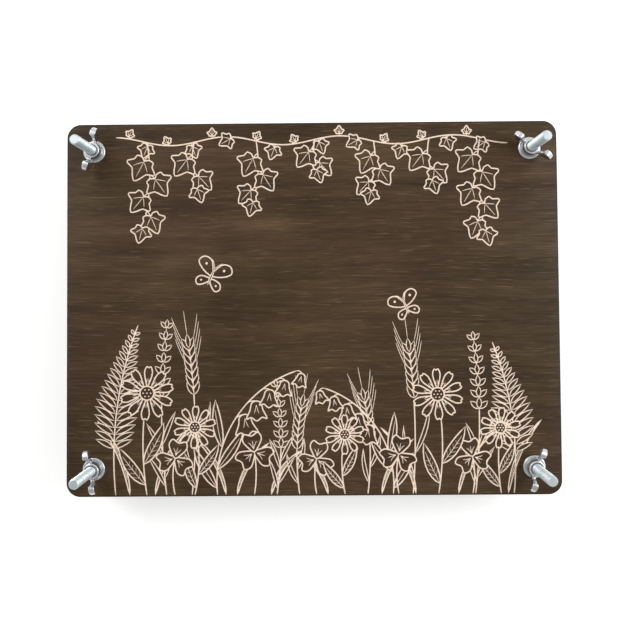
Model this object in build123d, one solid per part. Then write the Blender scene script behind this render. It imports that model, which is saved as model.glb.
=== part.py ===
from build123d import *
import os

# Flower press: two plywood boards squeeze a stack of cards and blotting sheets.
# Millimetres. X runs along the long side, Y towards the back, Z up from the rest face.

# Boards
board_length = 300.0
board_width = 227.0
board_thickness = 9.0
board_corner_radius = 8.5
board_edge_round = 0.5

# Bolt places, in from the edges of the boards
bolt_inset_x = 17.0
bolt_inset_y = 17.0

# Carriage bolts: domed head, square neck, M6 shank
bolt_diameter = 6.0
bolt_length = 75.0
bolt_end_chamfer = 0.7
head_diameter = 16.4
head_height = 3.5
head_rim = 0.8
neck_side = 6.4
neck_length = 4.0

# Washers
washer_diameter = 13.6
washer_thickness = 1.6
washer_edge_round = 0.35

# Wing nuts: a tapered hub with two upswept wings
hub_base_diameter = 10.8
hub_top_diameter = 10.0
hub_height = 6.5
hub_edge_round = 0.7
wing_span = 26.2
wing_height = 11.7
wing_thickness = 3.2
wing_neck_thickness = 1.8
wing_offset = 0.8
wing_end_round = 1.2
nut_mouth_chamfer = 0.4

# Turn of each wing nut about its bolt when the press is closed, in shares of a full turn
nut_turn_shares = {"front_left": 0.267, "front_right": 0.192, "back_left": 0.2, "back_right": -0.109}

# Side of a wing: distance out from the root, height, and corner radius.
# Distances are shares of the wing's reach past its root, the others of its height.
wing_side_shares = [
    (0.00, 0.16, 0.00),
    (0.26, 0.22, 0.30),
    (0.98, 0.56, 0.24),
    (1.00, 1.00, 0.20),
    (0.31, 1.00, 0.10),
    (0.22, 0.56, 0.13),
    (0.00, 0.53, 0.00),
]

# Places along a wing where its thin neck ends and its thick pad begins
wing_neck_end_share = 0.24
wing_pad_start_share = 0.30

# Corrugated cards: two liners with a fluted sheet between them
card_count = 5
card_thickness = 3.0
card_liner = 0.25
card_medium = 0.25
flute_pitch = 6.4
glue_line = 0.8
flute_round_share = 0.8

# Blotting sheets, in pairs between the cards
blotter_thickness = 0.7
sheets_per_bed = 2

# Loose sheets lie a little out of line: x, y and turn of each layer from the bottom up
sheet_play = 1.2
sheet_turn = 0.25
sheet_shift_shares = [
    (0.2, -0.3, 0.4), (-0.7, 0.5, -0.6), (0.5, 0.9, 0.2), (-0.3, -0.6, 0.8), (0.9, 0.2, -0.3),
    (-0.5, 0.7, 0.5), (0.1, -0.8, -0.9), (0.6, 0.4, 0.3), (-0.9, -0.2, 0.7), (0.3, 0.8, -0.5),
    (-0.2, -0.5, 0.1), (0.8, 0.1, 0.9), (-0.4, 0.3, -0.7),
]

# Clearances
sheet_gap_x = 5.0
sheet_gap_y = 4.5
head_side_clearance = 0.5
head_recess = 0.5
neck_clearance = 0.05
neck_end_clearance = 0.2
bottom_hole_clearance = 0.15
top_hole_clearance = 0.35
washer_clearance = 0.2
thread_clearance = 0.05
cut_overrun = 1.0

# Places worked out from the sizes above
bolt_x = board_length / 2 - bolt_inset_x
bolt_y = board_width / 2 - bolt_inset_y
corners = {
    "front_left": (-bolt_x, -bolt_y),
    "front_right": (bolt_x, -bolt_y),
    "back_left": (-bolt_x, bolt_y),
    "back_right": (bolt_x, bolt_y),
}
sheet_length = 2 * bolt_x - bolt_diameter - 2 * sheet_gap_x
sheet_width = 2 * bolt_y - bolt_diameter - 2 * sheet_gap_y
bed_count = card_count - 1
stack_height = card_count * card_thickness + bed_count * sheets_per_bed * blotter_thickness
top_board_base = board_thickness + stack_height
washer_base = top_board_base + board_thickness
nut_base = washer_base + washer_thickness
head_seat = head_recess + head_height
neck_pocket_end = head_seat + neck_length + neck_end_clearance
bolt_end = head_seat + bolt_length
standing = (Align.CENTER, Align.CENTER, Align.MIN)


# A round or square post that stands on its base height
def round_post(diameter, base, top):
    return Pos(0, 0, base) * Cylinder(diameter / 2, top - base, align=standing)


def square_post(side, base, top):
    return Pos(0, 0, base) * Box(side, side, top - base, align=standing)


def at_corners(shape):
    return [Pos(x, y, 0) * shape for x, y in corners.values()]


def board_blank():
    outline = RectangleRounded(board_length, board_width, board_corner_radius)
    blank = extrude(outline, board_thickness)
    levels = blank.edges().group_by(Axis.Z)
    return fillet(levels[0] + levels[-1], board_edge_round)


# The bottom board is counterbored for the heads, with square pockets for the necks
def bottom_board():
    head_hole = head_diameter + 2 * head_side_clearance
    neck_hole = neck_side + 2 * neck_clearance
    shank_hole = bolt_diameter + 2 * bottom_hole_clearance
    hole = round_post(head_hole, -cut_overrun, head_seat)
    hole += square_post(neck_hole, 0, neck_pocket_end)
    hole += round_post(shank_hole, 0, board_thickness + cut_overrun)
    return board_blank() - at_corners(hole)


def top_board():
    hole_diameter = bolt_diameter + 2 * top_hole_clearance
    hole = round_post(hole_diameter, top_board_base - cut_overrun, washer_base + cut_overrun)
    return Pos(0, 0, top_board_base) * board_blank() - at_corners(hole)


def carriage_bolt():
    head_radius = head_diameter / 2
    rim_base = head_seat - head_rim
    crown = (0, head_recess)
    slope = (head_radius / 2, head_recess + (rim_base - head_recess) / 4)
    outline = ThreePointArc(crown, slope, (head_radius, rim_base))
    outline += Polyline((head_radius, rim_base), (head_radius, head_seat), (0, head_seat), crown)
    head = revolve(Plane.XZ * make_face(outline), Axis.Z)
    shank = round_post(bolt_diameter, head_seat, bolt_end)
    shank = chamfer(shank.edges().group_by(Axis.Z)[-1], bolt_end_chamfer)
    return head + square_post(neck_side, head_seat, head_seat + neck_length) + shank


def washer():
    disc = round_post(washer_diameter, washer_base, nut_base)
    disc = fillet(disc.edges().group_by(Axis.Z)[-1], washer_edge_round)
    return disc - round_post(bolt_diameter + 2 * washer_clearance, washer_base, nut_base)


# One wing along +X: its side outline and its plan outline, each raised and then intersected
def nut_wing():
    bore_radius = bolt_diameter / 2 + thread_clearance
    root = (bore_radius + hub_top_diameter / 2) / 2
    reach = wing_span / 2 - root
    side_points = [(root + out * reach, up * wing_height) for out, up, _ in wing_side_shares]
    side_radii = [round_share * wing_height for _, _, round_share in wing_side_shares]
    side = make_face(FilletPolyline(side_points, radius=side_radii, close=True))
    slab = extrude(Plane.XZ.offset(-wing_span / 2) * side, wing_span)
    neck_end = root + wing_neck_end_share * reach
    pad_start = root + wing_pad_start_share * reach
    half_neck = wing_neck_thickness / 2
    half_pad = wing_thickness / 2
    edge = [(root, half_neck), (neck_end, half_neck), (pad_start, half_pad), (wing_span / 2, half_pad)]
    outline = edge + [(x, -y) for x, y in reversed(edge)]
    plan_radii = [0, 0, 0, wing_end_round, wing_end_round, 0, 0, 0]
    plan = make_face(FilletPolyline(outline, radius=plan_radii, close=True))
    return slab & Pos(0, wing_offset, 0) * extrude(plan, wing_height)


# The hub is turned: a tapered barrel with a bore that is chamfered at both mouths
def nut_hub():
    bore = bolt_diameter / 2 + thread_clearance
    mouth = bore + nut_mouth_chamfer
    outline = [
        (mouth, 0),
        (hub_base_diameter / 2, 0),
        (hub_top_diameter / 2, hub_height),
        (mouth, hub_height),
        (bore, hub_height - nut_mouth_chamfer),
        (bore, nut_mouth_chamfer),
    ]
    section = make_face(FilletPolyline(outline, radius=[0, 0, hub_edge_round, 0, 0, 0], close=True))
    return revolve(Plane.XZ * section, Axis.Z)


def wing_nut():
    wing = nut_wing()
    return nut_hub() + wing + wing.rotate(Axis.Z, 180)


# Space between the fluted sheet and the upper liner, over one flute
def flute_void():
    wide = (flute_pitch - glue_line) / 2
    narrow = glue_line / 2
    low = card_liner + card_medium
    high = card_thickness - card_liner
    outline = Polyline((-wide, high), (-narrow, low), (narrow, low), (wide, high), close=True)
    face = make_face(outline)
    return fillet(face.vertices().sort_by(Axis.Y)[:2], flute_round_share * glue_line)


# Flutes run from front to back, so the short way stays open to the air
def corrugated_card():
    void = flute_void()
    turned_void = Pos(0, card_thickness) * mirror(void, Plane.XZ)
    flutes = int(sheet_length // flute_pitch)
    first = -(flutes - 1) * flute_pitch / 2
    voids = [Pos(first + i * flute_pitch) * void for i in range(flutes)]
    voids += [Pos(first + (i + 0.5) * flute_pitch) * turned_void for i in range(flutes - 1)]
    block = Rectangle(sheet_length, card_thickness, align=(Align.CENTER, Align.MIN))
    section = Face(block.wire(), [void.wire() for void in voids])
    return extrude(Plane.XZ.offset(-sheet_width / 2) * section, sheet_width)


def blotting_sheet():
    return Box(sheet_length, sheet_width, blotter_thickness, align=standing)


# Cards and sheets from the bottom up: a card first and last, a pair of sheets between two cards
def layers():
    card = corrugated_card()
    sheet = blotting_sheet()
    stack = [("corrugated_card_1", card, card_thickness)]
    for bed in range(1, card_count):
        stack.append((f"blotting_sheet_{bed}_lower", sheet, blotter_thickness))
        stack.append((f"blotting_sheet_{bed}_upper", sheet, blotter_thickness))
        stack.append((f"corrugated_card_{bed + 1}", card, card_thickness))
    placed = {}
    base = board_thickness
    for i, (name, shape, height) in enumerate(stack):
        x, y, turn = sheet_shift_shares[i % len(sheet_shift_shares)]
        placed[name] = Pos(x * sheet_play, y * sheet_play, base) * Rot(0, 0, turn * sheet_turn) * shape
        base += height
    return placed


def press():
    nodes = {"bottom_board": bottom_board(), "top_board": top_board(), **layers()}
    bolt = carriage_bolt()
    ring = washer()
    nut = wing_nut()
    for corner, (x, y) in corners.items():
        nodes[f"carriage_bolt_{corner}"] = Pos(x, y, 0) * bolt
        nodes[f"washer_{corner}"] = Pos(x, y, 0) * ring
        nodes[f"wing_nut_{corner}"] = Pos(x, y, nut_base) * Rot(0, 0, nut_turn_shares[corner] * 360) * nut
    return nodes


os.makedirs("parts", exist_ok=True)
for name, shape in press().items():
    shape.label = name
    export_step(shape, f"parts/{name}.step")
    print(name, len(shape.solids()), round(shape.volume, 1))
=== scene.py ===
import math

import bmesh
import bpy
from mathutils import Euler, Matrix, Vector, geometry


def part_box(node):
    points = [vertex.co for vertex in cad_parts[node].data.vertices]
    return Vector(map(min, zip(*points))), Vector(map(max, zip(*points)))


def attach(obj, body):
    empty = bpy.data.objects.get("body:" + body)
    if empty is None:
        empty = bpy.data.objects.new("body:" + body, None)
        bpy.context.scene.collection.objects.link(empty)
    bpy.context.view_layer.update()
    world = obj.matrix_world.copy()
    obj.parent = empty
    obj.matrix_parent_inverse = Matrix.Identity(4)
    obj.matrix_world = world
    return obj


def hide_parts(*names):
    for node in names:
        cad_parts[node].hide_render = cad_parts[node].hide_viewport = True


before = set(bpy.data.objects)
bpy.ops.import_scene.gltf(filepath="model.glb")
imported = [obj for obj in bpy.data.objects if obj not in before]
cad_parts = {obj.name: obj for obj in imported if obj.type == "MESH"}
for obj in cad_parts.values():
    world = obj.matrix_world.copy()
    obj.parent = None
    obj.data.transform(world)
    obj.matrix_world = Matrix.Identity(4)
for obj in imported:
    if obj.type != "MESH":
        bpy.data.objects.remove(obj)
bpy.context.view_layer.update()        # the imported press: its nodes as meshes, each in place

mm = 0.001
weld = 1e-6  # metres: points nearer than this are one
white = (1, 1, 1, 1)
corners = ["front_left", "front_right", "back_left", "back_right"]
boardLow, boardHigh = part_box("top_board")
boardHalf = (boardHigh - boardLow) / 2
boltAt = {}  # on each bolt's axis, at the top of its washer
for corner in corners:
    low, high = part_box("washer_" + corner)
    boltAt[corner] = Vector(((low.x + high.x) / 2, (low.y + high.y) / 2, high.z))
print("frame loaded:", len(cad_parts), "nodes")


# Helpers

def hexColor(text):  # sRGB hex to linear colour
    parts = [int(text[i:i + 2], 16) / 255 for i in (1, 3, 5)]
    return [c / 12.92 if c <= 0.04045 else ((c + 0.055) / 1.055) ** 2.4 for c in parts] + [1.0]


def addNode(tree, kind, inputs=None, stops=(), **settings):  # one node with its settings and links
    node = tree.nodes.new("ShaderNode" + kind)
    for name, value in settings.items():
        setattr(node, name, value)
    for key, value in (inputs or {}).items():
        if isinstance(value, bpy.types.NodeSocket):
            tree.links.new(value, node.inputs[key])
        else:
            node.inputs[key].default_value = value
    for i, (at, color) in enumerate(stops):  # a new ramp has two stops already
        ramp = node.color_ramp.elements
        stop = ramp[i] if i < 2 else ramp.new(at)
        stop.position, stop.color = at, hexColor(color)
    return node


def startMaterial(name, roughness, metallic=0.0):
    material = bpy.data.materials.new(name)
    material.use_nodes = True
    shader = material.node_tree.nodes["Principled BSDF"]
    shader.inputs["Roughness"].default_value = roughness
    shader.inputs["Metallic"].default_value = metallic
    return material, material.node_tree, shader


def setSurface(tree, shader, color, height, relief):  # colour, and bumps of a strength and a depth
    strength, deep = relief
    tree.links.new(color, shader.inputs["Base Color"])
    bump = addNode(tree, "Bump", {"Height": height, "Strength": strength, "Distance": deep})
    tree.links.new(bump.outputs[0], shader.inputs["Normal"])


def makePiece(name, bm, materials, body, smoothAngle):  # mesh object at the origin, riding a body
    mesh = bpy.data.meshes.new(name)
    bm.to_mesh(mesh)
    bm.free()
    piece = bpy.data.objects.new(name, mesh)
    bpy.context.scene.collection.objects.link(piece)
    for material in materials:
        mesh.materials.append(material)
    mesh.shade_smooth()
    mesh.set_sharp_from_angle(angle=math.radians(smoothAngle))
    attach(piece, body)
    return piece


def drawProfile(bm, points, close=False):  # edges through points of (radius, height)
    verts = [bm.verts.new((r, 0, z)) for r, z in points]
    after = verts[1:] + (verts[:1] if close else [])
    return verts + [bm.edges.new(pair) for pair in zip(verts, after)]


def spinProfile(bm, points, steps, close=False):  # turns a profile once about Z
    profile = drawProfile(bm, points, close)
    bmesh.ops.spin(bm, geom=profile, cent=(0, 0, 0), axis=(0, 0, 1), angle=math.tau, steps=steps,
                   use_merge=True)
    bmesh.ops.remove_doubles(bm, verts=bm.verts, dist=weld)
    bmesh.ops.recalc_face_normals(bm, faces=bm.faces)


def turnMesh(bm, angle):  # degrees about Z
    bmesh.ops.rotate(bm, verts=bm.verts, cent=(0, 0, 0), matrix=Matrix.Rotation(math.radians(angle), 3, "Z"))


def vertsOf(geom):
    return [g for g in geom if isinstance(g, bmesh.types.BMVert)]


# Materials

plywood = {
    "stain": [(0.14, "#241509"), (0.86, "#60503f"), (0.36, "#362716"), (0.5, "#413120"), (0.64, "#4c3c2b")],
    "marks": {  # length, width, detail and weight along the grain, the finest drawn wide enough to show
        "streak": (26 * mm, 1.0 * mm, 3.0, 0.6),
        "band": (240 * mm, 7 * mm, 2.0, 0.5),
        "fibre": (14 * mm, 0.6 * mm, 2.0, 0.4),
        "blotch": (77 * mm, 43 * mm, 3.0, 0.75),
        "hue": (137 * mm, 51 * mm, 1.0, 0.0),
        "fleck": (15 * mm, 0.7 * mm, 1.0, 0.0),
        "pore": (8 * mm, 0.5 * mm, 1.0, 0.0),
    },
    "markRough": 0.6,
    "wander": 4.5 * mm,  # how far the grain strays from straight
    "wanderOver": (120 * mm, 39 * mm, 39 * mm),  # and the size of its waves
    "tints": [(0.4, "#f8f3c6"), (0.6, "#fff2d8")],  # olive and reddish patches of the stain
    "dashes": [  # mark, colour, where it begins and is full, its most share
        ("fleck", "#7d6850", 0.62, 0.73, 0.4),
        ("pore", "#251a12", 0.64, 0.74, 0.35),
    ],
    "roughness": 0.55, "specular": 0.25, "relief": (0.4, 0.06 * mm),
    "sheen": {"From Min": 0.3, "From Max": 0.7, "To Min": 0.62, "To Max": 0.48},  # dark wood is duller
    "charGrain": 2.5 * mm, "charRough": 0.65,
    "corner": 8.5 * mm, "scorch": "#17100b", "scorchWide": 1.1 * mm, "scorchPast": 0.3 * mm,
    "scorchShare": 0.9, "ragged": 1.0 * mm,
    "plies": 7, "plyChar": 0.6, "plyTones": [(0.2, "#17100b"), (0.85, "#5a4029"), (0.5, "#2a1c12")],
    "brow": {"From Min": 0.25, "From Max": 0.8},  # where the edge turns into the face
    "lidPart": (0.266, 0.103, 0.0), "basePart": (1.7, 0.9, 0.4),  # where each board lay in its sheet
}


def woodGrain(tree, place):  # noise for each kind of mark, and the tone they add up to
    slow = addNode(tree, "Mapping", {"Vector": place, "Scale": [1 / size for size in plywood["wanderOver"]]})
    stray = addNode(tree, "TexNoise", {"Vector": slow.outputs[0], "Scale": 1.0, "Detail": 1.0})
    grain = addNode(tree, "VectorMath", {
        0: stray.outputs["Color"], 1: (0, 2 * plywood["wander"], 0), 2: place}, operation="MULTIPLY_ADD")
    marks = {}
    tone = 0.5 - 0.5 * sum(weight for _, _, _, weight in plywood["marks"].values())  # 0.5 on the whole
    for mark, (long, wide, detail, weight) in plywood["marks"].items():
        scaled = addNode(tree, "Mapping", {
            "Vector": grain.outputs[0], "Scale": (1 / long, 1 / wide, 1 / wide)})
        noise = addNode(tree, "TexNoise", {
            "Vector": scaled.outputs[0], "Scale": 1.0, "Detail": detail, "Roughness": plywood["markRough"]})
        marks[mark] = noise.outputs["Fac"]
        if weight:
            tone = addNode(tree, "Math", {
                0: marks[mark], 1: weight, 2: tone}, operation="MULTIPLY_ADD").outputs[0]
    return marks, tone


def stainedFace(tree, marks, tone):  # streaked stain, tinted in patches, with pale flecks and dark pores
    stain = addNode(tree, "ValToRGB", {"Fac": tone}, stops=plywood["stain"])
    tint = addNode(tree, "ValToRGB", {"Fac": marks["hue"]}, stops=plywood["tints"])
    face = addNode(tree, "Mix", {
        0: 1.0, 6: stain.outputs[0], 7: tint.outputs[0]}, data_type="RGBA", blend_type="MULTIPLY").outputs[2]
    for mark, color, begin, full, most in plywood["dashes"]:
        mask = addNode(tree, "MapRange", {
            "Value": marks[mark], "From Min": begin, "From Max": full, "To Max": most})
        face = addNode(tree, "Mix", {
            0: mask.outputs[0], 6: face, 7: hexColor(color)}, data_type="RGBA").outputs[2]
    return face


def burntOutline(tree, place, char, face):  # ragged line that the cut burns along the rounded outline
    radius = plywood["corner"]
    mirrored = addNode(tree, "VectorMath", {0: place}, operation="ABSOLUTE")
    past = addNode(tree, "VectorMath", {  # past the corners' centres, with height left out
        0: mirrored.outputs[0], 1: (boardHalf.x - radius, boardHalf.y - radius, 1.0)}, operation="SUBTRACT")
    outside = addNode(tree, "VectorMath", {0: past.outputs[0], 1: (0, 0, 0)}, operation="MAXIMUM")
    reach = addNode(tree, "VectorMath", {0: outside.outputs[0]}, operation="LENGTH")
    pastBy = addNode(tree, "SeparateXYZ", {0: past.outputs[0]})
    larger = addNode(tree, "Math", {0: pastBy.outputs[0], 1: pastBy.outputs[1]}, operation="MAXIMUM")
    inside = addNode(tree, "Math", {0: larger.outputs[0], 1: 0.0}, operation="MINIMUM")
    edgeAt = addNode(tree, "Math", {0: reach.outputs["Value"], 1: inside.outputs[0]}, operation="ADD")
    uneven = addNode(tree, "Math", {
        0: char, 1: plywood["ragged"], 2: edgeAt.outputs[0]}, operation="MULTIPLY_ADD")
    burn = addNode(tree, "MapRange", {
        "Value": uneven.outputs[0], "From Min": radius - plywood["scorchWide"] + plywood["ragged"] / 2,
        "From Max": radius + plywood["scorchPast"], "To Max": plywood["scorchShare"]})
    return addNode(tree, "Mix", {
        0: burn.outputs[0], 6: face, 7: hexColor(plywood["scorch"])}, data_type="RGBA").outputs[2]


def cutEdge(tree, place, char, base):  # charred veneers, their grain along and across by turns
    spot = addNode(tree, "SeparateXYZ", {0: place})
    ply = addNode(tree, "MapRange", {
        "Value": spot.outputs[2], "From Min": base, "From Max": base + 2 * boardHalf.z,
        "To Max": plywood["plies"] / 2}, clamp=False)
    turn = addNode(tree, "Math", {0: ply.outputs[0], 1: 0.5}, operation="PINGPONG")
    tone = addNode(tree, "Math", {
        0: char, 1: plywood["plyChar"], 2: turn.outputs[0]}, operation="MULTIPLY_ADD")
    return addNode(tree, "ValToRGB", {"Fac": tone.outputs[0]}, stops=plywood["plyTones"]).outputs[0]


def stainedPlywood(name, base, part):
    # birch plywood, laser cut, wiped with walnut stain: brown streaks along X under a thin satin film,
    # a burnt line round the outline and charred veneers on the edge
    material, tree, shader = startMaterial(name, plywood["roughness"])
    shader.inputs["Specular IOR Level"].default_value = plywood["specular"]
    place = addNode(tree, "TexCoord")
    spot = place.outputs["Object"]
    moved = addNode(tree, "Mapping", {"Vector": spot, "Location": part}).outputs[0]
    marks, tone = woodGrain(tree, moved)
    char = addNode(tree, "TexNoise", {
        "Vector": moved, "Scale": 1 / plywood["charGrain"], "Detail": 3.0,
        "Roughness": plywood["charRough"]}).outputs["Fac"]
    face = burntOutline(tree, spot, char, stainedFace(tree, marks, tone))
    edge = cutEdge(tree, spot, char, base)
    facing = addNode(tree, "SeparateXYZ", {0: place.outputs["Normal"]})
    level = addNode(tree, "Math", {0: facing.outputs[2]}, operation="ABSOLUTE")
    flat = addNode(tree, "MapRange", {"Value": level.outputs[0], **plywood["brow"]})
    color = addNode(tree, "Mix", {0: flat.outputs[0], 6: edge, 7: face}, data_type="RGBA").outputs[2]
    sheen = addNode(tree, "MapRange", {"Value": tone, **plywood["sheen"]})
    tree.links.new(sheen.outputs[0], shader.inputs["Roughness"])
    height = addNode(tree, "Math", {0: marks["fibre"], 1: marks["pore"]}, operation="SUBTRACT")
    setSurface(tree, shader, color, height.outputs[0], plywood["relief"])
    return material


engraving = {
    "floor": ([(0.3, "#f2d4b5"), (0.64, "#fff1df"), (0.46, "#fbe3ca")], 0.8),  # colours and roughness
    "wall": ([(0.35, "#150d08"), (0.65, "#33221a")], 0.9),
    "grain": (8 * mm, 0.5 * mm, 0.5 * mm), "relief": (0.3, 0.05 * mm),
}


def laserCutBirch(name, stops, roughness):
    # birch laid bare by a laser: peach, matt and faintly toasted along the grain on the floor of a cut,
    # charred on its walls
    material, tree, shader = startMaterial(name, roughness)
    place = addNode(tree, "TexCoord")
    scaled = addNode(tree, "Mapping", {
        "Vector": place.outputs["Object"], "Scale": [1 / size for size in engraving["grain"]]})
    grain = addNode(tree, "TexNoise", {"Vector": scaled.outputs[0], "Scale": 1.0, "Detail": 2.0})
    tone = addNode(tree, "ValToRGB", {"Fac": grain.outputs["Fac"]}, stops=stops)
    setSurface(tree, shader, tone.outputs[0], grain.outputs["Fac"], engraving["relief"])
    return material


zinc = {
    "bolt": ("#c9d2d5", "#b8c2c5", 0.44, 0.3 * mm),  # bright, dull, roughness, and grit coarse enough to show
    "washer": ("#d2d8d7", "#c0c8c8", 0.3, 0.25 * mm),
    "nut": ("#d2d3d5", "#c2c3c6", 0.3, 0.4 * mm),
    "cloud": 6 * mm, "dullAt": 0.35, "brightAt": 0.65,
    "worn": {"From Min": 0.3, "From Max": 0.7}, "rougher": 0.06, "smoother": 0.05,
    "relief": (0.15, 0.03 * mm),
}


def zincPlate(name, bright, dull, rough, grit):
    # steel with bright zinc plating: a pale bluish mirror, clouded by fine crystals and handling
    material, tree, shader = startMaterial(name, rough, metallic=1.0)
    place = addNode(tree, "TexCoord").outputs["Object"]
    cloud = addNode(tree, "TexNoise", {"Vector": place, "Scale": 1 / zinc["cloud"], "Detail": 2.0})
    fine = addNode(tree, "TexNoise", {"Vector": place, "Scale": 1 / grit, "Detail": 2.0})
    tone = addNode(tree, "ValToRGB", {"Fac": cloud.outputs["Fac"]}, stops=[
        (zinc["dullAt"], dull), (zinc["brightAt"], bright)])
    worn = addNode(tree, "MapRange", {
        "Value": cloud.outputs["Fac"], **zinc["worn"],
        "To Min": rough + zinc["rougher"], "To Max": rough - zinc["smoother"]})
    tree.links.new(worn.outputs[0], shader.inputs["Roughness"])
    setSurface(tree, shader, tone.outputs[0], fine.outputs["Fac"], zinc["relief"])
    return material


card = {
    "stops": [(0.36, "#6f4e2e"), (0.64, "#c49c6e"), (0.46, "#9c7448")], "roughness": 0.88,
    "fibre": (0.66 * mm, 4.4 * mm, 0.66 * mm),  # drawn thick enough to show
    "patch": 30 * mm, "patchShare": 0.4, "relief": (0.4, 0.08 * mm),
}


def kraftCard():
    # unbleached kraft liner: matt brown, streaked and flecked with long fibres
    material, tree, shader = startMaterial("kraftCard", card["roughness"])
    place = addNode(tree, "TexCoord").outputs["Object"]
    scaled = addNode(tree, "Mapping", {"Vector": place, "Scale": [1 / size for size in card["fibre"]]})
    fibre = addNode(tree, "TexNoise", {"Vector": scaled.outputs[0], "Scale": 1.0, "Detail": 4.0})
    patch = addNode(tree, "TexNoise", {"Vector": place, "Scale": 1 / card["patch"], "Detail": 2.0})
    mixed = addNode(tree, "Mix", {0: card["patchShare"], 2: fibre.outputs["Fac"], 3: patch.outputs["Fac"]})
    tone = addNode(tree, "ValToRGB", {"Fac": mixed.outputs[0]}, stops=card["stops"])
    setSurface(tree, shader, tone.outputs[0], fibre.outputs["Fac"], card["relief"])
    return material


paper = {
    "stops": [(0.3, "#ddd6c6"), (0.62, "#f1ece0")], "roughness": 0.95,
    "fibre": 1.6 * mm,  # a felt coarse enough to show
    "feltRough": 0.7, "feltTwist": 1.2, "relief": (0.5, 0.1 * mm),
}


def blottingPaper():
    # soft unsized paper: warm white, cloudy, with a felted surface that scatters light
    material, tree, shader = startMaterial("blottingPaper", paper["roughness"])
    place = addNode(tree, "TexCoord")
    felt = addNode(tree, "TexNoise", {
        "Vector": place.outputs["Object"], "Scale": 1 / paper["fibre"], "Detail": 5.0,
        "Roughness": paper["feltRough"], "Distortion": paper["feltTwist"]})
    tone = addNode(tree, "ValToRGB", {"Fac": felt.outputs["Fac"]}, stops=paper["stops"])
    setSurface(tree, shader, tone.outputs[0], felt.outputs["Fac"], paper["relief"])
    return material


lidWood = stainedPlywood("walnutStainedPlywoodLid", boardLow.z, plywood["lidPart"])
baseWood = stainedPlywood("walnutStainedPlywoodBase", 0.0, plywood["basePart"])
bareBirch = laserCutBirch("laserEngravedBirch", *engraving["floor"])
charredBirch = laserCutBirch("laserCharredBirch", *engraving["wall"])
boltZinc = zincPlate("zincPlatedBoltSteel", *zinc["bolt"])
washerZinc = zincPlate("zincPlatedWasherSteel", *zinc["washer"])
nutZinc = zincPlate("zincPlatedNutSteel", *zinc["nut"])
kraft = kraftCard()
blotter = blottingPaper()
print("materials made")


# Engraved drawing: a meadow along the front edge and ivy along the back, in mm on the board.
# It is drawn from front to back, and each closed outline hides what is drawn after it.

pen = {"outline": 0.94, "vein": 0.75, "hair": 0.54, "dot": 0.54, "shortest": 0.9}
layout = {
    "stemsIn": 1.0, "vineIn": 10.8,  # in from the front and the back edge
    "vineWave": 2.6, "vineLong": 11,  # height of the vine's waves, and length per radian
    "washerRoom": 7.9,  # radius left bare round a bolt
}
shapes = {  # outlines as shares of their size: across, along
    "daisyPetal": [(0, 0), (0.12, 0.3), (0.2, 0.7), (0.11, 0.98),
                   (0, 0.93), (-0.11, 0.98), (-0.2, 0.7), (-0.12, 0.3)],
    "clover": [(0, 0), (0.3, 0.3), (0.5, 0.66), (0.36, 0.98),
               (0, 0.84), (-0.36, 0.98), (-0.5, 0.66), (-0.3, 0.3)],
    "bell": [(0, 0), (0.26, 0.12), (0.36, 0.5), (0.58, 0.98), (0.3, 0.9),
             (0, 1.1), (-0.3, 0.9), (-0.58, 0.98), (-0.36, 0.5), (-0.26, 0.12)],
    "ivy": [(0, 0), (0.16, -0.12), (0.4, -0.1), (0.44, 0.1), (0.68, 0.3), (0.62, 0.42), (0.36, 0.5),
            (0.2, 0.78), (0, 1.0), (-0.2, 0.78), (-0.36, 0.5), (-0.62, 0.42), (-0.68, 0.3), (-0.44, 0.1),
            (-0.4, -0.1), (-0.16, -0.12)],
    "wing": [(0, 0), (0.4, 0.3), (0.62, 0.78), (0.3, 1.0), (-0.06, 0.72)],
}
strokes = []  # (points, width, closed)
dots = []  # (centre, radius)
masks = []  # closed outlines already drawn, with their boxes


def heading(angle):  # unit vector at an angle in degrees, 90 pointing to the back
    return Vector((math.cos(math.radians(angle)), math.sin(math.radians(angle))))


def boxOf(points):
    xs, ys = [p.x for p in points], [p.y for p in points]
    return min(xs), min(ys), max(xs), max(ys)


def meet(a, b):  # do two boxes overlap
    return a[0] < b[2] and a[2] > b[0] and a[1] < b[3] and a[3] > b[1]


def holds(outline, point):  # is the point inside the closed outline
    inside = False
    for a, b in zip(outline, outline[-1:] + outline[:-1]):
        crosses = (a.y > point.y) != (b.y > point.y)
        if crosses and point.x < (b.x - a.x) * (point.y - a.y) / (b.y - a.y) + a.x:
            inside = not inside
    return inside


def covered(outlines, point):
    return any(holds(outline, point) for outline in outlines)


def draw(points, width, closed=False, own=0):  # own: latest outlines that don't hide this stroke
    halvings = 7
    box = boxOf(points)
    near = [outline for outline, other in masks[:len(masks) - own] if meet(other, box)]
    if closed:
        masks.append((list(points), box))
    path = points + points[:1] if closed else points
    hidden = [covered(near, point) for point in path]
    if not any(hidden):
        strokes.append((points, width, closed))
        return
    runs, run = [], []
    for i, point in enumerate(path):
        if i and hidden[i] != hidden[i - 1]:  # finds where the stroke passes under an outline
            a, b = path[i - 1], point
            for _ in range(halvings):
                mid = (a + b) / 2
                a, b = (mid, b) if covered(near, mid) == hidden[i - 1] else (a, mid)
            run.append((a + b) / 2)
            if hidden[i]:
                runs.append(run)
                run = []
        if not hidden[i]:
            run.append(point)
    runs.append(run)
    if closed and not hidden[0] and len(runs) > 1:
        runs[0] = runs.pop() + runs[0][1:]
    for run in runs:
        if sum((b - a).length for a, b in zip(run, run[1:])) > pen["shortest"]:
            strokes.append((run, width, False))


def bow(start, angle, length, turn, steps):  # a line that bends steadily by turn degrees
    points = [Vector(start)]
    for i in range(steps):
        points.append(points[-1] + heading(angle + turn * (i + 0.5) / steps) * length / steps)
    return points


def stemUp(x, height, lean, bend, steps=40):  # from the front edge, bending by bend times its lean
    return bow((x, frontLine), 90 + lean, height, bend * lean, steps)


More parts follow.
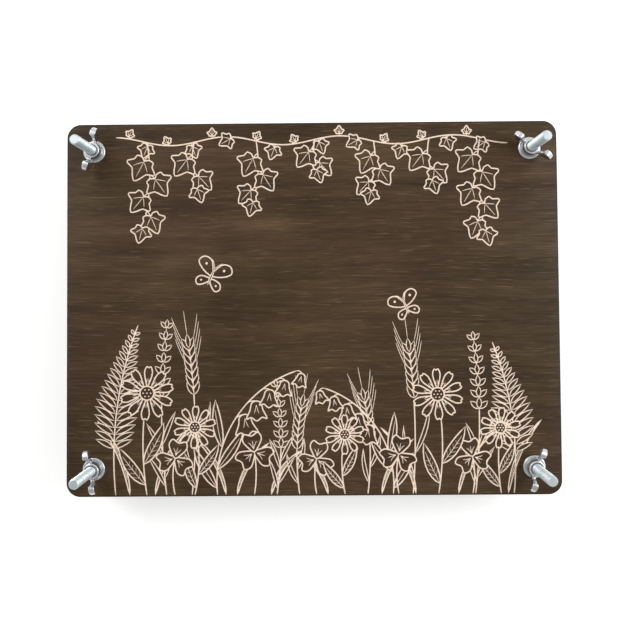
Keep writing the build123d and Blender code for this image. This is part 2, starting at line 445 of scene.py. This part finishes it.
def along(stem, share):  # place and heading on a stem
    i = min(int(share * (len(stem) - 1)), len(stem) - 2)
    way = stem[i + 1] - stem[i]
    return stem[i].lerp(stem[i + 1], share * (len(stem) - 1) - i), math.degrees(math.atan2(way.y, way.x))


def petal(base, angle, length, width, count=6, bend=0):  # pointed loop from the base to the tip
    low, high, first, second = 0.22, 0.62, 0.72, 0.66  # how far along and across the curve is pulled
    out, side = heading(angle), heading(angle + 90)
    tip = base + out * length + side * bend * length
    loop = []
    for sign, start, end, near, far in ((1, base, tip, low, high), (-1, tip, base, high, low)):
        a = base + out * length * near + side * sign * width * first
        b = base + out * length * far + side * sign * width * second
        loop += geometry.interpolate_bezier(start, a, b, end, count)[:-1]
    return [Vector(p[:2]) for p in loop]


def outlineOf(name, base, angle, size, count=4):  # rounded loop through a shape's points
    out, side = heading(angle), heading(angle - 90)
    knots = [base + side * x * size + out * y * size for x, y in shapes[name]]
    loop = []
    for i, knot in enumerate(knots):
        after, before, later = knots[(i + 1) % len(knots)], knots[i - 1], knots[(i + 2) % len(knots)]
        a, b = knot + (after - before) / 6, after - (later - knot) / 6
        loop += geometry.interpolate_bezier(knot, a, b, after, count)[:-1]
    return [Vector(p[:2]) for p in loop]


def ring(centre, radius, count):
    return [centre + heading(360 * i / count) * radius for i in range(count)]


def leaf(base, angle, length, width, veins=0, bend=0):  # pointed leaf with a midrib and slanting veins
    ribLong, ribBend, veinTurn = 0.8, 60, 42
    draw(petal(base, angle, length, width, 8, bend), pen["outline"], closed=True)
    rib = bow(base, angle, ribLong * length, ribBend * bend, 6)
    draw(rib, pen["hair"], own=1)
    for i in range(veins):
        spot, way = along(rib, 0.25 + 0.6 * i / veins)
        long = 0.62 - 0.3 * i / veins  # shorter towards the tip
        for sign in (1, -1):
            draw([spot, spot + heading(way + sign * veinTurn) * width * long], pen["hair"], own=1)


def blades(stem, places, turn, length, width, count, bend):  # narrow leaves on the sides of a stem
    for share, sign in places:
        spot, way = along(stem, share)
        draw(petal(spot, way + sign * turn, length, width, count, bend * sign), pen["vein"], closed=True)


def daisy(x, height, lean, size):
    seeds, petals, eye, seedRing, petalLong = 6, 10, 0.26, 0.14, 0.74
    foldAt, foldLong, foldTurn = 0.34, 0.22, 7
    stem = stemUp(x, height, lean, -2, 20)
    centre = stem[-1]
    draw(ring(centre, eye * size, 18), pen["outline"], closed=True)
    dots.append((centre, pen["dot"]))
    for i in range(seeds):
        dots.append((centre + heading(360 / seeds * i) * seedRing * size, pen["dot"]))
    for i in range(petals):
        angle = 360 / petals * i + 1.5 * lean
        root = centre + heading(angle) * eye * size
        draw(outlineOf("daisyPetal", root, angle, petalLong * size), pen["outline"], closed=True)
        for turn in (-foldTurn, foldTurn):
            start = centre + heading(angle + turn) * foldAt * size
            draw(bow(start, angle, foldLong * size, -turn, 3), pen["hair"], own=1)
    draw(stem, pen["outline"])
    for share, sign in ((0.1, 1), (0.3, -1)):
        spot, way = along(stem, share)
        leaf(spot, way + sign * 36, 1.7 * size, 0.4 * size, veins=4, bend=-0.12 * sign)


def clover(x, height, lean, size):
    veinAt, veinLong, veinTurn = 0.14, 0.46, 34
    stem = stemUp(x, height, lean, -2, 10)
    for turn in (90, 210, -30):
        angle = turn - lean
        draw(outlineOf("clover", stem[-1], angle, size), pen["outline"], closed=True)
        for spread in (0, veinTurn, -veinTurn):
            start = stem[-1] + heading(angle) * veinAt * size
            draw(bow(start, angle + 0.4 * spread, veinLong * size, spread, 4), pen["hair"], own=1)
    draw(stem, pen["outline"])


def lavender(x, height, lean, size):
    rows, apart, budTurn = 7, 1.16, 48
    stem = stemUp(x, height, lean, -2)
    for i in range(rows):
        spot, way = along(stem, 1 - apart * size * i / height)
        bud = size * (0.8 + 0.05 * i)
        for turn in (0, budTurn, -budTurn):
            root = spot + heading(way + turn) * 0.4
            draw(petal(root, way + turn, bud, 0.44 * bud, 5), pen["vein"], closed=True)
    draw(stem, pen["outline"])
    places = ((0.05, 1), (0.1, -1), (0.24, 1), (0.3, -1))
    blades(stem, places, turn=20, length=3.6 * size, width=0.36 * size, count=8, bend=0.08)


def wheat(x, height, lean, size):
    rows, apart, earTurn = 7, 0.72, 27
    bearded, beardAt, beardLong = 9, 1.3, 2.3
    stem = stemUp(x, height, lean, -2.4)
    ears = [(1.0, 0)]
    for i in range(rows):
        share = 1 - apart * size * (i + 0.3) / height
        ears += [(share, earTurn), (share, -earTurn)]
    for share, turn in ears:
        spot, way = along(stem, share)
        draw(petal(spot, way + turn, 1.35 * size, 0.42 * size, 5), pen["vein"], closed=True)
    for share, turn in ears[:bearded]:
        spot, way = along(stem, share)
        start = spot + heading(way + turn) * beardAt * size
        draw(bow(start, way + 0.75 * turn, beardLong * size, -0.25 * turn, 6), pen["hair"])
    draw(stem, pen["outline"])
    places = ((0.12, 1), (0.28, -1))
    blades(stem, places, turn=26, length=0.36 * height, width=0.36 * size, count=9, bend=-0.2)


def harebell(x, height, lean, size):  # an arching stem with bells that hang from its outer side
    bells, apart, foldAt, foldLong, foldTurn, leafTurn = 5, 0.125, 0.2, 0.5, 10, 32
    side = math.copysign(1, lean)
    stem = stemUp(x, height, lean, -13)
    for i in range(bells):
        spot, way = along(stem, 1.0 - apart * i)
        big = size * (0.66 + 0.085 * i)
        hang = bow(spot, way - side * 12, 0.5 * big, -side * (70 - 8 * i), 5)
        fall = -90 - side * (16 - 6 * i)
        draw(outlineOf("bell", hang[-1], fall, big), pen["outline"], closed=True)
        for turn in (-foldTurn, foldTurn):
            start = hang[-1] + heading(fall) * foldAt * big
            draw(bow(start, fall + turn, foldLong * big, turn, 3), pen["hair"], own=1)
        draw(hang, pen["vein"])
    for share, sign in ((0.04, side), (0.16, -side), (0.3, side)):
        spot, way = along(stem, share)
        leaf(spot, way + sign * leafTurn, 0.3 * height, 0.055 * height, bend=-0.1 * sign)
    draw(stem, pen["outline"])


def fern(x, height, lean, size):
    apart, rootTurn, rootOut = 5.66, 70, 0.7
    stem = stemUp(x, height, lean, -4.5)
    draw(stem, pen["outline"])
    count = int(height / apart)
    for i in range(count):
        share = 0.27 + 0.71 * i / count
        spot, way = along(stem, share)
        long = size * 1.3 * (1.06 - share) * min(1.0, 2.2 * share)
        for sign in (1, -1):
            root = spot + heading(way + sign * rootTurn) * rootOut
            blade = petal(root, way + sign * (64 - 26 * share), long, 1.1 + 0.15 * long, bend=0.12 * sign)
            draw(blade, pen["vein"], closed=True)


def grass(x, height, lean, width):  # one long blade that bends over
    steps, ribFrom, ribTo = 16, 3, 11
    spine = bow((x, frontLine), 90 - 0.2 * lean, height, -lean, steps)
    left, right = [], []
    for i, point in enumerate(spine[1:-1], 1):
        share = i / steps
        way = along(spine, share)[1]
        half = width * share ** 0.6 * (1 - share ** 1.6)
        left.append(point + heading(way + 90) * half)
        right.append(point + heading(way - 90) * half)
    draw(spine[:1] + right + spine[-1:] + left[::-1], pen["outline"], closed=True)
    draw(spine[ribFrom:ribTo], pen["hair"], own=1)


def ivyLeaf(base, angle, size):
    draw(outlineOf("ivy", base, angle, size, 3), pen["outline"], closed=True)
    start = base + heading(angle) * 0.04 * size
    for turn, long in ((0, 0.76), (50, 0.5), (-50, 0.5)):
        draw(bow(start, angle + turn, long * size, -0.2 * turn, 3), pen["hair"], own=1)


def ivyStrand(spot, length, lean, size):  # hangs from the vine, with leaves on both sides and at its end
    apart, stalkTurn, stalkLong, stalkBend, leafTurn = 0.78, 62, 0.3, 26, 34
    stem = bow(spot, -90 + lean, length, -2.6 * lean, 24)
    tip, way = along(stem, 1.0)
    ivyLeaf(tip, way, 0.7 * size)
    count = int(length / (apart * size))
    for i in range(count):
        spot, way = along(stem, (i + 0.75) / (count + 0.7))
        sign = 1 if i % 2 else -1
        stalk = bow(spot, way + sign * stalkTurn, stalkLong * size, -sign * stalkBend, 4)
        ivyLeaf(stalk[-1], way + sign * leafTurn, size * (1.0 - 0.2 * i / count))
        draw(stalk, pen["vein"])
    draw(stem, pen["outline"])


def butterfly(x, y, tilt, size):
    bodyLong, bodyWide, feelerAt, feelerLong, feelerTurn = 0.9, 0.1, 0.44, 0.55, 14
    centre = Vector((x, y))
    tail = centre - heading(tilt) * 0.42 * size
    draw(petal(tail, tilt, bodyLong * size, bodyWide * size, 5), pen["vein"], closed=True)
    for sign in (1, -1):
        for turn, big, rootAt in ((26, 1.0, 1), (98, 0.7, -0.6)):  # fore wing, hind wing
            root = centre + heading(tilt) * 0.12 * size * rootAt
            spin = Matrix.Rotation(math.radians(tilt - 90 + sign * turn), 2)
            loop = outlineOf("wing", Vector((0, 0)), 90, big * size)
            draw([root + spin @ Vector((-sign * p.x, p.y)) for p in loop], pen["outline"], closed=True)
            spot = Vector((-sign * 0.24 * big * size, 0.62 * big * size))
            dots.append((root + spin @ spot, pen["dot"] * (0.6 + big)))
        start = centre + heading(tilt) * feelerAt * size
        draw(bow(start, tilt + sign * feelerTurn, feelerLong * size, sign * 40, 6), pen["hair"])


def vineAt(x):
    return Vector((x, backLine + layout["vineWave"] * math.sin(x / layout["vineLong"])))


frontLine = boardLow.y / mm + layout["stemsIn"]  # where the stems leave the front edge
backLine = boardHigh.y / mm - layout["vineIn"]  # middle of the vine
for spot in boltAt.values():  # nothing is cut under the washers
    clear = ring(Vector((spot.x, spot.y)) / mm, layout["washerRoom"], 28)
    masks.append((clear, boxOf(clear)))

for plant, x, height, lean, size in [
    (daisy, -101.1, 61.7, 9, 16.3), (clover, -84, 22.3, 14, 11.1), (daisy, -72, 41.1, -14, 12.9),
    (clover, -36, 25.7, -10, 11.6), (daisy, 18.9, 36, 12, 12), (clover, 1.7, 21.4, 12, 10.7),
    (clover, 51.4, 24, 12, 11.1), (daisy, 75.4, 60, -10, 15.4), (clover, 96, 22.3, -12, 10.7),
    (daisy, 113.1, 39.4, 8, 12.4), (harebell, -58.3, 96, 6, 12), (harebell, 48, 82.3, -6, 11.1),
    (lavender, -89.1, 101.1, 7, 6), (lavender, -22.3, 65.1, -9, 5.3), (lavender, 97.7, 92.6, -7, 6),
    (wheat, -73.7, 89.1, -6, 6.3), (wheat, -8.6, 53.1, 8, 5.7), (wheat, 32.6, 56.6, -8, 5.7),
    (wheat, 60, 85.7, -5, 6.2), (fern, -120, 104.6, 6, 18.9), (fern, 120.9, 92.6, -6, 18),
    (grass, -111.4, 49.7, -34, 2.4), (grass, -96, 48, 40, 2.2), (grass, -53.1, 44.6, -44, 2.2),
    (grass, -46.3, 37.7, 46, 2.1), (grass, -25.7, 34.3, 52, 2.1), (grass, 8.6, 32.6, -50, 2.1),
    (grass, 41.1, 39.4, 44, 2.1), (grass, 61.7, 46.3, -40, 2.2), (grass, 87.4, 44.6, 44, 2.2),
    (grass, 117.4, 49.7, 36, 2.4),
]:
    plant(x, height, lean, size)
for x, length, lean, size in [
    (-101, 53, 10, 13.7), (-72, 29, -12, 12.9), (-34, 38, 10, 12.9), (2, 19, -12, 12),
    (38, 31, 10, 12.4), (72, 26, -12, 12.9), (103, 57, -10, 13.7),
]:
    ivyStrand(vineAt(x), length, lean, size)
for i, x in enumerate(range(-113, 118, 13)):  # leaves along the vine, large below and small above by turns
    angle, size = (-70 - 40 * (i % 3), 8.1) if i % 2 else (60 + 30 * (i % 3), 4.5)
    stalk = bow(vineAt(x), angle, 1.9, 0, 2)
    ivyLeaf(stalk[-1], angle, size)
    draw(stalk, pen["vein"])
draw([vineAt(x) for x in range(-120, 121, 3)], pen["outline"])
for x, y, tilt, size in [(-62, 19, 66, 12), (57, 0, 114, 10.3)]:
    butterfly(x, y, tilt, size)
print("drawing:", len(strokes), "strokes,", sum(len(s[0]) for s in strokes), "points,", len(dots), "dots")


# Top board: rounded plate with the drawing cut into its face

board = {
    "radius": 8.5 * mm, "cornerSteps": 12, "edge": 0.5 * mm, "edgeSteps": 3,
    "holeRadius": 3.35 * mm, "holeSteps": 32, "smooth": 35,
    "depth": 0.15 * mm, "wall": 0.05 * mm, "weld": 2e-7,  # depth of the cuts and run of their walls
    "step": 0.35, "taper": 0.6, "dotSteps": 10,  # shortest step in mm, and width at free ends
    "least": 1e-3, "leak": 1.2, "spare": 0.01,  # mm and square mm, for the triangulation
}


def strokeFaces(points, width, closed):  # thin triangles along a stroke, tapered at free ends
    path = points[:1]
    for spot in points[1:]:
        if (spot - path[-1]).length > board["step"]:
            path.append(spot)
    lefts, rights, faces = [], [], []
    count = len(path)
    for i, spot in enumerate(path):
        before = path[i - 1] if closed or i else spot
        after = path[(i + 1) % count] if closed or i < count - 1 else spot
        way = (after - before).normalized()
        half = width / 2 * (1.0 if closed or 0 < i < count - 1 else board["taper"])
        lefts.append(spot + Vector((-way.y, way.x)) * half)
        rights.append(spot - Vector((-way.y, way.x)) * half)
    for i in range(count if closed else count - 1):
        j = (i + 1) % count
        faces += [(lefts[i], rights[i], rights[j]), (lefts[i], rights[j], lefts[j])]
    return faces


def areaOf(shape):
    return 0.5 * sum(a.cross(b) for a, b in zip(shape, list(shape[1:]) + [shape[0]]))


def flatFace(bm, height, outline, holes, cuts=()):  # plane face with holes, returns the faces to cut
    points, loops, areas = [], [], []
    for shape in [outline, *holes, *cuts]:
        area = areaOf(shape)
        if abs(area) > board["least"]:
            loops.append(list(range(len(points), len(points) + len(shape))))
            areas.append(abs(area))
            points += shape if area > 0 else reversed(shape)
    spots, _, cells, _, _, parents = geometry.delaunay_2d_cdt(points, [], loops, 1, board["least"], True)
    filled = [0.0] * len(loops)
    for cell, inside in zip(cells, parents):
        for k in inside:
            filled[k] += abs(areaOf([spots[i] for i in cell]))
    most = [board["leak"] * area + board["spare"] for area in areas]
    sound = {k for k in range(len(loops)) if filled[k] < most[k]}  # a sliver can leak over the plate
    verts = [bm.verts.new((p.x * mm, p.y * mm, height)) for p in spots]
    sunk = []
    for cell, inside in zip(cells, parents):
        over = sound.intersection(inside)
        if 0 in over and not any(1 <= k <= len(holes) for k in over):
            face = bm.faces.new([verts[i] for i in cell])
            if len(over) > 1:
                sunk.append(face)
    bmesh.ops.delete(bm, geom=[v for v in verts if not v.link_faces], context="VERTS")
    return sunk


def roundedPlate():  # the board's outline grown to its thickness, with soft edges
    radius, steps = board["radius"], board["cornerSteps"]
    middle = (boardHigh + boardLow) / 2
    bm = bmesh.new()
    verts = []
    for sx, sy, start in ((1, 1, 0), (-1, 1, 90), (-1, -1, 180), (1, -1, 270)):
        for i in range(steps + 1):
            out = heading(start + 90 * i / steps) * radius
            verts.append(bm.verts.new((middle.x + sx * (boardHalf.x - radius) + out.x,
                                       middle.y + sy * (boardHalf.y - radius) + out.y, boardLow.z)))
    plate = bm.faces.new(verts)
    grown = bmesh.ops.extrude_face_region(bm, geom=[plate])["geom"]
    bmesh.ops.translate(bm, verts=vertsOf(grown), vec=(0, 0, 2 * boardHalf.z))
    bmesh.ops.recalc_face_normals(bm, faces=bm.faces)
    rims = [e for e in bm.edges if abs(e.verts[0].co.z - e.verts[1].co.z) < weld]
    bmesh.ops.bevel(bm, geom=rims, offset=board["edge"], segments=board["edgeSteps"], profile=0.5,
                    affect="EDGES", material=-1)
    return bm


def engravedBoard():
    bm = roundedPlate()
    caps = [f for f in bm.faces if len(f.verts) > 4]  # the two faces, all others being quads
    loops = {f.normal.z > 0: [Vector(v.co.xy) / mm for v in f.verts] for f in caps}
    bmesh.ops.delete(bm, geom=caps, context="FACES_ONLY")
    radius = board["holeRadius"]
    holes = [ring(Vector(c.xy) / mm, radius / mm, board["holeSteps"]) for c in boltAt.values()]
    cuts = [face for stroke in strokes for face in strokeFaces(*stroke)]
    cuts += [ring(centre, size, board["dotSteps"]) for centre, size in dots]
    flatFace(bm, boardLow.z, loops[False], holes)
    sunk = flatFace(bm, boardHigh.z, loops[True], holes, cuts)
    bm.normal_update()
    sloped = bmesh.ops.inset_region(bm, faces=sunk, thickness=board["wall"], depth=-board["depth"])["faces"]
    for index, faces in ((1, sunk), (2, sloped)):
        for face in faces:
            face.material_index = index
    bmesh.ops.remove_doubles(bm, verts=bm.verts, dist=board["weld"])
    for spot in boltAt.values():  # walls of the bolt holes
        near = [e for e in bm.edges if (e.verts[0].co.xy - spot.xy).length < 1.1 * radius]
        rim = [e for e in near if e.is_boundary]
        bmesh.ops.bridge_loops(bm, edges=rim)
    bmesh.ops.recalc_face_normals(bm, faces=bm.faces)
    print("board:", len(bm.faces), "faces,", sum(not e.is_manifold for e in bm.edges), "open edges")
    return bm


lid = makePiece("engravedTopBoard", engravedBoard(), [lidWood, bareBirch, charredBirch], "lid",
                board["smooth"])
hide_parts("top_board")


# Carriage bolts: rolled thread on the shank, square neck and domed head

bolt = {
    "pitch": 1.0 * mm, "crest": 2.98 * mm, "root": 2.45 * mm, "steps": 24, "smooth": 40,
    "thread": [(0.0, "root"), (0.22, "root"), (0.52, "crest"), (0.7, "crest")],  # over one pitch
    "endUnder": 0.1 * mm, "endSlope": 0.9,  # the end starts under the root and widens
    "long": 75 * mm, "neck": 6.4 * mm, "neckLong": 4.0 * mm,
    "headRadius": 8.2 * mm, "headRim": 0.8 * mm, "headRound": 0.25 * mm, "headSteps": 48, "domeSteps": 10,
    "turns": {"front_left": 20, "front_right": 140, "back_left": 250, "back_right": 310},  # of each thread
}


def openEdges(bm, height):
    level = [e for e in bm.edges if all(abs(v.co.z - height) < weld for v in e.verts)]
    return [e for e in level if e.is_boundary]


def threadedShank(bm, low, high):  # one profile of all the threads, spun once while it climbs one pitch
    pitch, steps = bolt["pitch"], bolt["steps"]
    points = []
    for i in range(-2, int((high - low) / pitch) + 2):
        for share, radius in bolt["thread"]:
            points.append((bolt[radius], low + (i + share) * pitch))
    profile = drawProfile(bm, points)
    bmesh.ops.spin(bm, geom=profile, cent=(0, 0, 0), axis=(0, 0, 1), dvec=(0, 0, pitch / steps),
                   angle=math.tau, steps=steps)
    bmesh.ops.remove_doubles(bm, verts=bm.verts, dist=weld)
    for z, way in ((low, -1), (high, 1)):
        bmesh.ops.bisect_plane(bm, geom=bm.verts[:] + bm.edges[:] + bm.faces[:], plane_co=(0, 0, z),
                               plane_no=(0, 0, way), clear_outer=True)
    bmesh.ops.dissolve_degenerate(bm, dist=2 * weld, edges=bm.edges)
    bmesh.ops.contextual_create(bm, geom=openEdges(bm, high))
    for v in bm.verts:  # chamfered end, on which the thread fades out
        room = bolt["root"] - bolt["endUnder"] + max(0.0, high - v.co.z) * bolt["endSlope"]
        radius = v.co.xy.length
        if radius > room:
            v.co.xy = v.co.xy * room / radius


def domedHead(bm, low, seat):
    radius, edge, steps = bolt["headRadius"], bolt["headRound"], bolt["domeSteps"]
    high = seat - bolt["headRim"] - low
    points = []
    for i in range(steps + 1):
        angle = math.radians(90 * i / steps)
        points.append((radius * math.sin(angle), low + high * (1 - math.cos(angle))))
    spinProfile(bm, points + [(radius, seat - edge), (radius - edge, seat)], bolt["headSteps"])


def carriageBolt(corner):
    low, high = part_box("carriage_bolt_" + corner)
    seat = high.z - bolt["long"]  # under the head
    neckEnd = seat + bolt["neckLong"]
    bm = bmesh.new()
    threadedShank(bm, neckEnd, high.z)
    turnMesh(bm, bolt["turns"][corner])
    domedHead(bm, low.z, seat)
    neck = bmesh.ops.create_cube(bm, size=1.0)["verts"]
    bmesh.ops.scale(bm, verts=neck, vec=(bolt["neck"], bolt["neck"], bolt["neckLong"]))
    bmesh.ops.translate(bm, verts=neck, vec=(0, 0, (seat + neckEnd) / 2))
    ends = [f for f in neck[0].link_faces[:] + neck[-1].link_faces[:] if abs(f.normal.z) > 0.9]
    bmesh.ops.delete(bm, geom=ends, context="FACES_ONLY")
    for height in (seat, neckEnd):  # the neck joins the head below and the shank above
        bmesh.ops.bridge_loops(bm, edges=openEdges(bm, height))
    bmesh.ops.recalc_face_normals(bm, faces=bm.faces)
    bmesh.ops.translate(bm, verts=bm.verts, vec=(boltAt[corner].x, boltAt[corner].y, 0))
    piece = makePiece("threadedBolt_" + corner, bm, [boltZinc], "base",
                      bolt["smooth"])
    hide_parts("carriage_bolt_" + corner)


# Washers: punched discs, rolled over at the upper edge and sharp below

washer = {  # mm
    "inner": 3.2, "outer": 6.8, "high": 1.6, "roll": 0.72, "rollSteps": 6, "mouth": 0.25, "steps": 64,
    "smooth": 50,
}


def punchedWasher(corner):
    inner, outer, high, roll = washer["inner"], washer["outer"], washer["high"], washer["roll"]
    profile = [(inner, 0), (outer, 0)]
    for i in range(washer["rollSteps"] + 1):
        out = heading(90 * i / washer["rollSteps"]) * roll
        profile.append((outer - roll + out.x, high - roll + out.y))
    profile += [(inner + washer["mouth"], high), (inner, high - washer["mouth"])]
    bm = bmesh.new()
    spinProfile(bm, [(r * mm, z * mm) for r, z in profile], washer["steps"], close=True)
    bmesh.ops.translate(bm, verts=bm.verts, vec=boltAt[corner] - Vector((0, 0, high * mm)))
    piece = makePiece("punchedWasher_" + corner, bm, [washerZinc], "lid",
                      washer["smooth"])
    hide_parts("washer_" + corner)


# Wing nuts: a turned hub whose side faces are drawn out into two wings, then rounded by subdivision

nut = {  # mm and degrees
    "sides": 16, "levels": 3, "smooth": 180,
    "crease": 0.75, "creaseAngle": 40, "creaseFrom": 7.4,  # firm edges of the pads, out from the axis
    "hub": [(3.08, 0.4), (3.45, 0.0), (5.15, 0.0), (5.45, 0.25), (5.35, 2.05), (5.2, 4.45), (5.05, 5.9),
            (4.7, 6.55), (3.5, 6.55), (3.08, 6.1)],
    "root": {"facing": 0.97, "low": 2.0, "high": 5.9, "out": 3.9},  # hub faces that a wing grows from
    "wing": [  # out from the axis, then low, middle and high, half thickness, offset
        (5.9, 2.4, 4.4, 6.1, 1.25, 0.25), (6.9, 2.7, 5.2, 8.0, 1.2, 0.5), (7.5, 3.0, 6.2, 10.7, 1.4, 0.7),
        (8.3, 3.4, 6.9, 11.6, 1.65, 0.8), (10.0, 4.6, 8.2, 11.85, 1.7, 0.8),
        (11.75, 5.9, 8.6, 11.05, 1.6, 0.8), (12.7, 6.7, 8.4, 9.95, 1.4, 0.8),
        (13.15, 7.2, 8.2, 9.1, 1.0, 0.8),
    ],
    "angles": {"front_left": 96.12, "front_right": 69.12, "back_left": 72.0, "back_right": -39.24},
}


def drawWing(bm, turn):  # pulls the hub's side faces out through the wing's stations
    spin = Matrix.Rotation(turn, 3, "Z")
    out, side = spin @ Vector((1, 0, 0)), spin @ Vector((0, 1, 0))
    root = nut["root"]
    faces = []
    for face in bm.faces:
        centre = face.calc_center_median()
        level = root["low"] * mm < centre.z < root["high"] * mm
        if level and face.normal.dot(out) > root["facing"] and centre.dot(out) > root["out"] * mm:
            faces.append(face)
    middleLine = 0.0
    for reach, low, middle, high, half, offset in nut["wing"]:
        grown = bmesh.ops.extrude_face_region(bm, geom=faces)["geom"]
        bmesh.ops.delete(bm, geom=faces, context="FACES")
        verts = sorted(vertsOf(grown), key=lambda v: v.co.z)
        for pair, z in zip((verts[0:2], verts[2:4], verts[4:6]), (low, middle, high)):
            for v in pair:
                sign = 1 if v.co.dot(side) > middleLine else -1
                v.co = (out * reach + side * (offset + sign * half) + Vector((0, 0, z))) * mm
        faces = [g for g in grown if isinstance(g, bmesh.types.BMFace)]
        middleLine = offset * mm


def wingNut(corner):
    bm = bmesh.new()
    spinProfile(bm, [(r * mm, z * mm) for r, z in nut["hub"]], nut["sides"], close=True)
    turnMesh(bm, 180 / nut["sides"])
    for turn in (0, math.pi):
        drawWing(bm, turn)
    bmesh.ops.recalc_face_normals(bm, faces=bm.faces)
    crease = bm.edges.layers.float.new("crease_edge")
    for edge in bm.edges:
        onPad = min(v.co.xy.length for v in edge.verts) > nut["creaseFrom"] * mm
        if onPad and edge.calc_face_angle(0.0) > math.radians(nut["creaseAngle"]):
            edge[crease] = nut["crease"]
    turnMesh(bm, nut["angles"][corner])
    bmesh.ops.translate(bm, verts=bm.verts, vec=boltAt[corner])
    piece = makePiece("wingNut_" + corner, bm, [nutZinc], "nut_" + corner,
                      nut["smooth"])
    rounding = piece.modifiers.new("rounding", "SUBSURF")
    rounding.levels = rounding.render_levels = nut["levels"]
    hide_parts("wing_nut_" + corner)


for make, what in ((carriageBolt, "bolts"), (punchedWasher, "washers"), (wingNut, "wing nuts")):
    for corner in corners:
        make(corner)
    print(what, "made")


# Pieces whose CAD shape is right get their finish

finishes = {"bottom_board": baseWood, "corrugated_card": kraft, "blotting_sheet": blotter}
for name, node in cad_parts.items():
    for start, material in finishes.items():
        if name.startswith(start):
            node.data.materials.clear()
            node.data.materials.append(material)
print("finishes set")


# Stage: pale floor, soft light and the photograph's camera

stage = {
    "size": 6.0, "color": "#f7f7f6", "roughness": 0.9, "gap": 0.1 * mm,  # the floor lies a hair below
    "glow": {"From Min": 0.5, "From Max": 1.6, "To Min": 0.42, "To Max": 0.66},  # white far from the lamps
    "world": 0.42, "domeTowards": (0, -0.8, 0.9),  # what mirrors see is dimmer overhead and to the front
    "dome": {"From Min": 0.4, "From Max": 1.2, "To Min": 1.0, "To Max": 0.5},
    "lamps": {"rightBox": (10, 40, 7.2), "backLeftBox": (140, 40, 5.2)},  # bearing, rise, power
    "lampFar": 1.2, "lampSize": 0.6,
}
view = {  # place above the lid and tilt in degrees, focal length and shift in pixels of the frame
    "at": (7.3 * mm, 7.8 * mm, 486 * mm), "tilt": (1.83, 0.39, -0.43), "focal": 797.5, "frame": 618.0,
    "sensor": 36.0, "shift": (-10.1, -39.5),
}


def seenLevel(tree, unseen, seen, mirrored):  # levels for light on the object, the eye, mirrors and glass
    path = addNode(tree, "LightPath")
    level = unseen
    for ray, shown in (("Glossy", mirrored), ("Transmission", mirrored), ("Camera", seen)):
        level = addNode(tree, "Mix", {0: path.outputs["Is " + ray + " Ray"], 2: level, 3: shown}).outputs[0]
    return level


def makeFloor():
    bm = bmesh.new()
    bmesh.ops.create_grid(bm, x_segments=1, y_segments=1, size=stage["size"])
    bmesh.ops.translate(bm, verts=bm.verts, vec=(0, 0, -stage["gap"]))
    mesh = bpy.data.meshes.new("studioFloor")
    bm.to_mesh(mesh)
    bm.free()
    floor = bpy.data.objects.new("studioFloor", mesh)
    bpy.context.scene.collection.objects.link(floor)
    material, tree, shader = startMaterial("whitePaperFloor", stage["roughness"])  # matt, keeps the shadow
    shader.inputs["Base Color"].default_value = hexColor(stage["color"])
    shader.inputs["Emission Color"].default_value = white
    place = addNode(tree, "TexCoord")
    away = addNode(tree, "VectorMath", {0: place.outputs["Object"]}, operation="LENGTH")
    glow = addNode(tree, "MapRange", {
        "Value": away.outputs["Value"], **stage["glow"]}, interpolation_type="SMOOTHSTEP").outputs[0]
    tree.links.new(seenLevel(tree, 0.0, glow, glow), shader.inputs["Emission Strength"])
    mesh.materials.append(material)


def makeLight():
    world = bpy.data.worlds.new("softRoom")
    bpy.context.scene.world = world
    world.use_nodes = True
    tree = world.node_tree
    back = tree.nodes["Background"]
    back.inputs["Color"].default_value = white
    ray = addNode(tree, "TexCoord")
    climb = addNode(tree, "VectorMath", {
        0: ray.outputs["Generated"], 1: stage["domeTowards"]}, operation="DOT_PRODUCT")
    dome = addNode(tree, "MapRange", {
        "Value": climb.outputs["Value"], **stage["dome"]}, interpolation_type="SMOOTHSTEP").outputs[0]
    tree.links.new(seenLevel(tree, stage["world"], 1.0, dome), back.inputs["Strength"])
    for name, (bearing, rise, power) in stage["lamps"].items():
        lamp = bpy.data.lights.new(name, "AREA")
        lamp.energy, lamp.shape, lamp.size = power, "DISK", stage["lampSize"]
        light = bpy.data.objects.new(name, lamp)
        away = Vector((*heading(bearing) * math.cos(math.radians(rise)), math.sin(math.radians(rise))))
        light.location = away * stage["lampFar"]
        light.rotation_euler = away.to_track_quat("Z", "Y").to_euler()
        bpy.context.scene.collection.objects.link(light)


def makeCamera():
    data = bpy.data.cameras.new("photoCamera")
    data.sensor_width = view["sensor"]
    data.lens = view["focal"] / view["frame"] * view["sensor"]
    data.shift_x, data.shift_y = (s / view["frame"] for s in view["shift"])
    camera = bpy.data.objects.new("photoCamera", data)
    camera.location = Vector(view["at"]) + Vector((0, 0, boardHigh.z))
    camera.rotation_euler = Euler([math.radians(a) for a in view["tilt"]], "XYZ")
    bpy.context.scene.collection.objects.link(camera)
    bpy.context.scene.camera = camera


makeFloor()
makeLight()
makeCamera()
bpy.context.scene.view_settings.view_transform = "Standard"
print("stage set")
